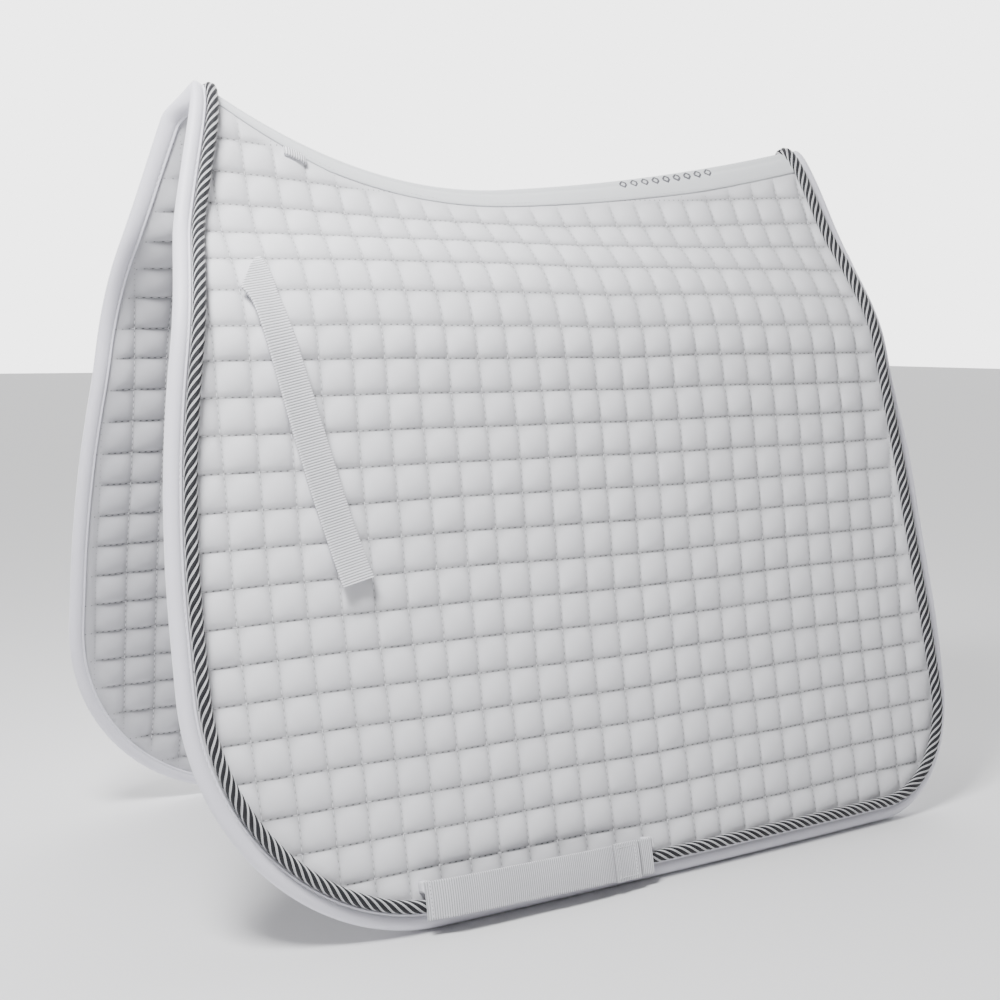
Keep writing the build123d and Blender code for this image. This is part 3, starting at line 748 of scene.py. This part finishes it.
def strand_set(line, tangent, out, aside, offset, radius, around, phase):
    """Tubes of strands laid round the rope's centreline, right-handed."""
    along = lengths(line)
    points, faces, cloth = [], [], []
    a = 2 * np.pi * np.arange(around) / around
    base = 0
    for k in range(STRANDS):
        theta = 2 * np.pi * (along / ROPE_LAY + (k + phase) / STRANDS)
        radial = np.cos(theta)[:, None] * out + np.sin(theta)[:, None] * aside
        swing = -np.sin(theta)[:, None] * out + np.cos(theta)[:, None] * aside
        heading = unit(tangent + offset * 2 * np.pi / ROPE_LAY * swing)
        flank = np.cross(heading, radial)
        centre = line + offset * radial
        rings = (centre[:, None] + radius * (np.cos(a)[None, :, None] * radial[:, None]
                                             + np.sin(a)[None, :, None] * flank[:, None]))
        strand_points, strand_faces = tube(rings)
        points.append(strand_points)
        faces += [block + base for block in strand_faces]
        spot = np.zeros(rings.shape)
        spot[..., 0] = along[:, None]
        spot[..., 1] = 1.1 * a[None]
        cloth.append(spot.reshape(-1, 3))
        base += len(strand_points)
    return np.concatenate(points), faces, np.concatenate(cloth)


def rope(side_name):
    """One side's rope: thick dark strands with two thinner silver ones between each pair."""
    side = SIDES[side_name]
    line = rope_line(side)
    nodes = [f"{side_name}_rope_trim", "front_arch_rope", "rear_arch_rope"]
    for name, mat, offset, radius, around, phase in (
            ("dark", dark_cord, 2.6, 1.95, 8, 0.0), ("silver", silver_cord, 3.85, 0.5, 5, 0.37),
            ("thin_silver", silver_cord, 3.85, 0.34, 5, 0.6)):
        points, faces, cloth = strand_set(*line, offset, radius, around, phase)
        piece = make(f"{side_name}_rope_{name}_strands", points, faces, cloth, mat)
        bends(piece)
        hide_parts(*nodes)


# ---- spine tapes, their stitching, the tab and the motif
def front_rear(offset):
    """x where the line at that inset from the outline crosses the spine, in front and behind."""
    line = EDGE + offset * EDGE_IN
    inside = np.flatnonzero(line[:, 1] >= crest_s(line[:, 0]))
    return line[inside[0], 0], line[inside[-1], 0]


TAPE_END_INSET, TAPE_RINGS = 10.0, 260
TAPE_BACK_N, TAPE_FACE_N = 4.4, 4.45
TAPE_SHARE = np.array([0.0, 0.03, 0.08, 0.16, 0.25, 0.3, 0.35, 0.5, 0.65, 0.8, 0.91, 0.97, 1.0])
TAPE_LIFT = np.array([1.45, 1.45, 1.45, 1.4, 1.25, 0.7, 1.25, 1.4, 1.4, 1.3, 1.1, 0.8, 0.4])


def spine_tape(name, sign, node_name):
    """A tape folded over the spine line: one closed sheet right across both sides."""
    front, rear = front_rear(TAPE_END_INSET)
    share, lift = TAPE_SHARE, TAPE_LIFT
    xs = np.linspace(front, rear, TAPE_RINGS)
    x = xs[:, None] + 0 * share[None]
    down = tape_drop(x) * share[None]
    s = crest_s(x) + down
    lift = lift[None] + 0.12 * np.sin(xs / 13.0)[:, None] * (share[None] > 0.2)
    high, low = sign * (TAPE_FACE_N + lift), sign * TAPE_BACK_N
    points = []
    for level in (high, low):
        right, left = at(x, s, level, 1), at(x, s, level, -1)
        points.append(np.concatenate([left[:, :0:-1], right], 1))
        points[-1][:, len(share) - 1, 1] = 0.0
    cloth = np.stack([np.concatenate([x[:, :0:-1], x], 1),
                      np.concatenate([-down[:, :0:-1], down], 1), 0 * points[0][..., 0]], -1)
    piece = shell(name, points[0], points[1], cloth, tape, sign)
    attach(piece, "spine")
    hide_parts(node_name)


TAPE_SEAM_UP, TAPE_SEAM_N = 2.2, 5.65       # the tape's stitching, above its lower edge


def tape_threads():
    """The row of stitches along each lower edge of the spine tape."""
    front, rear = front_rear(21.0)
    xs = np.arange(front, rear, 3.6)
    along = unit(np.stack([0 * xs + 1, np.gradient(crest_s(xs), xs)], -1))
    seam = np.stack([xs, crest_s(xs) + tape_drop(xs) - TAPE_SEAM_UP, 0 * xs + TAPE_SEAM_N], -1)
    for side_name, side in SIDES.items():
        sewn = stitches(f"{side_name}_spine_tape_thread", seam, along, 2.6, 0.26, thread, side)
        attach(sewn, "spine")
        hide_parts("spine_stitching")


def band(name, x, s, n, thick, u, v, mat, side):
    """A closed strip of webbing. Its outer face is the grid (x, s, n), and u and v its own place."""
    outer = at(x, s, n, side)
    inner = at(x, s, n - thick, side)
    cloth = np.stack([u, v, 0 * u], -1)
    return shell(name, outer, inner, cloth, mat, side)


TAB_X, TAB_DROP, TAB_HALF, TAB_HALF_WIDTH = -207.5, 15.5, 8.6, 2.5
TAB_N, TAB_BOW, TAB_THICK = 6.9, 1.6, 1.1


def withers_tab():
    """A small bar of webbing beside the spine tape, bowed off the cloth."""
    slope = np.gradient(crest_s(np.array([TAB_X - 5, TAB_X, TAB_X + 5])), 5.0)[1]
    u = np.linspace(-TAB_HALF, TAB_HALF, 37)
    v = np.linspace(-TAB_HALF_WIDTH, TAB_HALF_WIDTH, 7)
    uu, vv = np.meshgrid(u, v, indexing="ij")
    x = TAB_X + uu - vv * slope * 0.5
    s = crest_s(TAB_X) + TAB_DROP + uu * slope + vv
    rise = TAB_N + TAB_BOW * (1 - (uu / TAB_HALF) ** 4) - 0.5 * (vv / TAB_HALF_WIDTH) ** 2
    rise = rise + 0.12 * np.sin(uu * 6.0)
    piece = band("withers_tab_loop", x, s, rise, TAB_THICK, uu, vv, webbing, -1)
    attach(piece, "spine")
    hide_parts("withers_tab")


LOZENGES, LOZENGE_X, LOZENGE_PITCH = 9, 90.0, 11.0
LOZENGE_HALF_LENGTH, LOZENGE_HALF_HEIGHT, LOZENGE_DROP, LOZENGE_N = 3.8, 2.7, 5.0, 5.85


def motif():
    """A plain row of lozenges stitched in grey thread, beside the rear of the spine."""
    across = np.arange(-3.2, 3.21, 0.55)
    x = (LOZENGE_X + LOZENGE_PITCH * np.arange(LOZENGES)[:, None] + across[None]).ravel()
    half = np.tile(LOZENGE_HALF_HEIGHT * (1 - np.abs(across) / LOZENGE_HALF_LENGTH), LOZENGES)
    middle = crest_s(x) + LOZENGE_DROP
    places_x = np.repeat(x, 2)
    places_s = np.repeat(middle, 2) + np.stack([-half, half], 1).ravel()
    centres = np.stack([places_x, places_s, 0 * places_x + LOZENGE_N], -1)
    directions = np.tile([0.0, 1.0], (len(centres), 1))
    sewn = stitches("left_plain_motif", centres, directions, 2.0, 0.5, grey_thread, -1)
    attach(sewn, "spine")


# ---- front straps
STRAP_TOP, STRAP_END = (-266.2, 28.7), (-214.0, 257.5)      # on the cloth, (x, s)
WEBBING, RIB, RIB_DEPTH = 1.6, 1.9, 0.24
STRAP_N, STRAP_BOW = 9.0, 1.4
KICK, KICK_REACH = 4.0, 55.0        # the free end stands up this much, over this length
PATCH_START, PATCH_END, PATCH_HALF = 49, 4, 8.5     # hook and loop tapes, from the free end
HOOK_THICK, HOOK_GAP, PILE_N, PILE_THICK = 0.5, 0.25, 6.4, 1.6
TACK_HALF, TACK_ACROSS, TACK_N = 1.9, -9.3, 7.4     # the bar tack at the strap's narrow top


def ribs(u, v, half, pitch, depth):
    """Relief of grosgrain webbing: ribs across it, thicker selvedges."""
    selvedge = np.clip((np.abs(v) - half + 1.6) / 0.8, 0, 1)
    return depth * np.sin(2 * np.pi * u / pitch) * (1 - 0.6 * selvedge) + 0.22 * selvedge


STRAP_OUTLINE = [           # down the strap, then how far rearward its front and rear edges lie
    (0.0, 7.4, 11.3), (5.4, 0.0, 11.6), (10.6, -4.8, 12.0), (20.5, -14.7, 11.6), (26.3, -12.4, 10.6),
    (32.0, -11.3, 10.1), (60.0, -11.8, 10.2), (120.0, -13.0, 10.1), (160.0, -13.0, 10.3),
    (200.0, -12.1, 11.1), (245.0, -12.4, 12.2)]


def kick(u, length):
    """How far the strap's free end stands up off the pad."""
    return KICK * np.clip((u - length + KICK_REACH) / KICK_REACH, 0, 1) ** 2


def strap(side_name):
    """A front strap, the hook tape on its underside, the loop tape on the flap and its bar tack."""
    side = SIDES[side_name]
    top, end = np.array(STRAP_TOP), np.array(STRAP_END)
    length = np.linalg.norm(end - top)
    along = (end - top) / length
    across = np.array([-along[1], along[0]])
    u = np.arange(0, length + 0.01, RIB / 4)
    v = np.array([-1.0, -0.97, -0.9, -0.82, -0.6, -0.3, 0.0, 0.3, 0.6, 0.82, 0.9, 0.97, 1.0])
    uu, vv = np.meshgrid(u, v, indexing="ij")
    rows = np.array(STRAP_OUTLINE)
    rear, front = np.interp(uu, rows[:, 0], -rows[:, 2]), np.interp(uu, rows[:, 0], -rows[:, 1])
    width = (rear + front) / 2 + vv * (front - rear) / 2
    x = top[0] + uu * along[0] + width * across[0]
    s = top[1] + uu * along[1] + width * across[1]
    gather = np.clip(uu / 40.0, 0, 1)
    half = (front - rear) / 2
    edge = np.clip((np.abs(vv) - 0.9) / 0.1, 0, 1)
    lifted = STRAP_N + STRAP_BOW * np.sin(np.pi * uu / length) ** 2 + kick(uu, length)
    lean = 2.4 * np.clip(width / 12, -0.4, 1) * np.clip(1.3 - uu / 150, 0.25, 1) * gather
    n = lifted + lean + ribs(uu, vv * half, half, RIB, RIB_DEPTH) - 0.45 * edge**2
    n = n - 1.0 * np.clip((5 - uu) / 5, 0, 1)
    piece = band(f"{side_name}_front_strap_webbing", x, s, n, WEBBING, uu, vv * half, webbing, side)
    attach(piece, side_name + "_strap")
    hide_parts(f"{side_name}_front_strap")

    patch_u = np.linspace(length - PATCH_START, length - PATCH_END, 24)
    patch_v = np.linspace(-PATCH_HALF, PATCH_HALF, 9)
    uu, vv = np.meshgrid(patch_u, patch_v, indexing="ij")
    x = top[0] + uu * along[0] + vv * across[0]
    s = top[1] + uu * along[1] + vv * across[1]
    grip = STRAP_N + kick(uu, length) - WEBBING - HOOK_GAP
    hooks = band(f"{side_name}_strap_hook_tape", x, s, grip, HOOK_THICK, uu, vv, hook, side)
    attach(hooks, side_name + "_strap")
    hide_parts(f"{side_name}_strap_hook_patch")
    pile = band(f"{side_name}_strap_loop_tape", x, s, PILE_N, PILE_THICK, uu, vv, hook, side)
    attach(pile, side_name + "_flap")
    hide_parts(f"{side_name}_strap_loop_patch")

    tack_v = np.linspace(-TACK_HALF, TACK_HALF, 5)
    flat = top[None] + (1.5 * along)[None] + (tack_v[:, None] + TACK_ACROSS) * across[None]
    centres = np.concatenate([flat, np.full((len(flat), 1), TACK_N)], 1)
    sewn = stitches(f"{side_name}_strap_tack_thread", centres, np.tile(along, (len(flat), 1)), 6.0, 0.45,
                    thread, side)
    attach(sewn, side_name + "_flap")
    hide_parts(f"{side_name}_strap_bar_tack")


# ---- girth loops
LOOP_X, LOOP_S, LOOP_SLOPE, LOOP_LENGTH, LOOP_WIDTH = -94.5, 477.5, 0.008, 193.0, 27.5
LOOP_RIB, LOOP_RIB_DEPTH = 1.68, 0.16
LOOP_N, LOOP_BOW, LOOP_CROWN = 15.6, 5.2, 0.7       # its height, its slack and its rounded width
LOOP_FOLD, LOOP_FOLD_END = 40, 16   # its rear end is doubled, with the second layer here
LOOP_MAIN_END, LOOP_MAIN_NARROW, LOOP_FOLD_LIFT, LOOP_FOLD_THICK = 3, 0.8, 1.9, 1.5
BOX_START, BOX_END, BOX_MARGIN, BOX_PITCH = 36, 20, 3, 2.6      # box of stitches on the folded end
FOOT_MARGIN, FOOT_HALF, FOOT_LENGTH, FOOT_DROP, FOOT_THICK = 2.6, 2.4, 8.0, 1.2, 10.4


def loop_place(u, v):
    """x and s of a place on the girth loop, u along it and v across it."""
    return LOOP_X + u, LOOP_S + LOOP_SLOPE * u + v


def loop_height(u):
    """Height of the loop's face: it bows off the rope between its two sewn ends."""
    rise = np.clip((u + LOOP_LENGTH / 2) / 26, 0, 1)
    fall = np.clip((LOOP_LENGTH / 2 - 22 - u) / 34, 0, 1)
    return LOOP_N + LOOP_BOW * ease(rise) * ease(fall) + 0.25 * np.sin(u / 9.0)


def girth_loop(side_name):
    """The slack webbing loop at the lower edge, its folded end, box of stitches and two feet."""
    side = SIDES[side_name]
    reach, half = LOOP_LENGTH / 2, LOOP_WIDTH / 2
    v = np.array([-1.0, -0.985, -0.95, -0.88, -0.8, -0.5, -0.2, 0.1, 0.4, 0.7, 0.88, 0.95, 0.985, 1.0])

    def strip(name, u0, u1, lift, thick, narrow):
        uu, vv = np.meshgrid(np.arange(u0, u1 + 0.01, LOOP_RIB / 4), v, indexing="ij")
        x, s = loop_place(uu, vv * (half - narrow))
        edge = np.clip((np.abs(vv) - 0.9) / 0.1, 0, 1)
        relief = ribs(uu, vv * half, half, LOOP_RIB, LOOP_RIB_DEPTH)
        n = loop_height(uu) + lift + relief - 0.5 * edge**2 - LOOP_CROWN * vv**2
        return band(name, x, s, n, thick, uu, vv * half, loop_webbing, side)

    main = strip(f"{side_name}_girth_loop_webbing", -reach, reach - LOOP_MAIN_END, 0.0, WEBBING,
                 LOOP_MAIN_NARROW)
    fold = strip(f"{side_name}_girth_loop_folded_end", reach - LOOP_FOLD, reach - LOOP_FOLD_END,
                 LOOP_FOLD_LIFT, LOOP_FOLD_THICK, 0.0)
    for piece in (main, fold):
        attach(piece, side_name + "_flap")
    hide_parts(f"{side_name}_girth_loop")

    places, headings = [], []
    box_u = (reach - BOX_START, reach - BOX_END)
    for u in (*box_u, -reach + 3.5):
        for w in np.arange(-half + BOX_MARGIN, half - 2.5, BOX_PITCH):
            places.append((u, w))
            headings.append((0.0, 1.0))
    for w in (-half + BOX_MARGIN, half - BOX_MARGIN):
        for u in np.arange(*box_u, BOX_PITCH):
            places.append((u, w))
            headings.append((1.0, 0.0))
    u, w = np.array(places).T
    level = loop_height(u) + np.where(u > 0, 1.95, 0.05) - LOOP_CROWN * (w / half) ** 2 + 0.15
    centres = np.stack([*loop_place(u, w), level], -1)
    sewn = stitches(f"{side_name}_girth_loop_thread", centres, np.array(headings), 2.1, 0.3, thread, side)
    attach(sewn, side_name + "_flap")
    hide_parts(f"{side_name}_girth_loop_stitching")

    for end, place in (("front", -reach + FOOT_MARGIN), ("rear", reach - FOOT_MARGIN)):
        u = np.linspace(place - FOOT_HALF, place + FOOT_HALF, 6)
        w = np.linspace(-half + 0.4, -half + 0.4 + FOOT_LENGTH, 6)
        uu, ww = np.meshgrid(u, w, indexing="ij")
        x, s = loop_place(uu, ww)
        foot = band(f"{side_name}_girth_loop_{end}_foot", x, s, loop_height(uu) - FOOT_DROP, FOOT_THICK,
                    uu, ww, webbing, side)
        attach(foot, side_name + "_flap")


for side_name in SIDES:
    quilted(side_name)
    binding(side_name)
    rope(side_name)
    strap(side_name)
    girth_loop(side_name)
spine_tape("spine_tape_satin", 1, "spine_tape")
spine_tape("spine_tape_lining_side", -1, "spine_lining_tape")
tape_threads()
withers_tab()
motif()

# ---- floor, light and camera
FLOOR_SIZE, FLOOR_Z = 30, -0.0006   # metres, as in the rest of this section
bpy.ops.mesh.primitive_plane_add(size=FLOOR_SIZE, location=(0, 0, FLOOR_Z))
floor = bpy.context.object
floor.name = "studio_floor"
floor_paint = bpy.data.materials.new("studio_floor")
floor_paint.use_nodes = True
paint = floor_paint.node_tree.nodes["Principled BSDF"]
set_sockets(paint, {"Base Color": (0.8, 0.8, 0.81, 1), "Roughness": 0.9})
floor.data.materials.append(floor_paint)

FILL, BACKDROP = 0.12, 4.0  # world light from the front, and from the lit backdrop behind the pad
BACKDROP_WAY = (0.494, 0.870, 0.0)
BACKDROP_STARTS, BACKDROP_FULL = 0.1, 0.7
world = bpy.data.worlds.new("studio")
bpy.context.scene.world = world
world.use_nodes = True
sky_tree = world.node_tree
sky = sky_tree.nodes["Background"]
sky.inputs["Color"].default_value = (1.0, 1.0, 1.0, 1)
way = node(sky_tree, "ShaderNodeTexCoord", (-800, 0))
facing = node(sky_tree, "ShaderNodeVectorMath", (-600, 0), {1: BACKDROP_WAY}, operation="DOT_PRODUCT")
sky_tree.links.new(way.outputs["Generated"], facing.inputs[0])
backdrop = node(sky_tree, "ShaderNodeMapRange", (-400, 0), {
    "From Min": BACKDROP_STARTS, "From Max": BACKDROP_FULL, "To Min": FILL, "To Max": BACKDROP})
sky_tree.links.new(facing.outputs["Value"], backdrop.inputs["Value"])
sky_tree.links.new(backdrop.outputs[0], sky.inputs["Strength"])


def softbox(name, place, target, size, watts):
    """A square area light at a place, turned to a target."""
    data = bpy.data.lights.new(name, "AREA")
    data.shape = "SQUARE"
    data.size = size
    data.energy = watts
    lamp = bpy.data.objects.new(name, data)
    bpy.context.scene.collection.objects.link(lamp)
    lamp.location = place
    lamp.rotation_euler = (Vector(target) - Vector(place)).to_track_quat("-Z", "Y").to_euler()


softbox("key", (-0.66, -0.42, 1.22), (-0.05, -0.15, 0.3), 0.34, 29)

CAMERA_AT = (-0.6239, -1.0549, 0.4018)
CAMERA_AZIMUTH, CAMERA_ELEVATION, CAMERA_ROLL = -29.593, 6.289, 0.215
LENS, SENSOR = 53.385, 36.0

camera = bpy.data.objects.new("camera", bpy.data.cameras.new("camera"))
bpy.context.scene.collection.objects.link(camera)
camera.data.lens = LENS
camera.data.sensor_width = SENSOR
camera.data.clip_start = 0.05
azimuth, elevation, roll = (math.radians(v) for v in (CAMERA_AZIMUTH, CAMERA_ELEVATION, CAMERA_ROLL))
back = Vector((math.sin(azimuth) * math.cos(elevation), -math.cos(azimuth) * math.cos(elevation),
               math.sin(elevation)))
level_right = Vector((math.cos(azimuth), math.sin(azimuth), 0))
level_up = back.cross(level_right)
right = level_right * math.cos(roll) + level_up * math.sin(roll)
up = level_up * math.cos(roll) - level_right * math.sin(roll)
turned = Matrix((right, up, back)).transposed().to_4x4()
camera.matrix_world = Matrix.Translation(CAMERA_AT) @ turned
bpy.context.scene.camera = camera
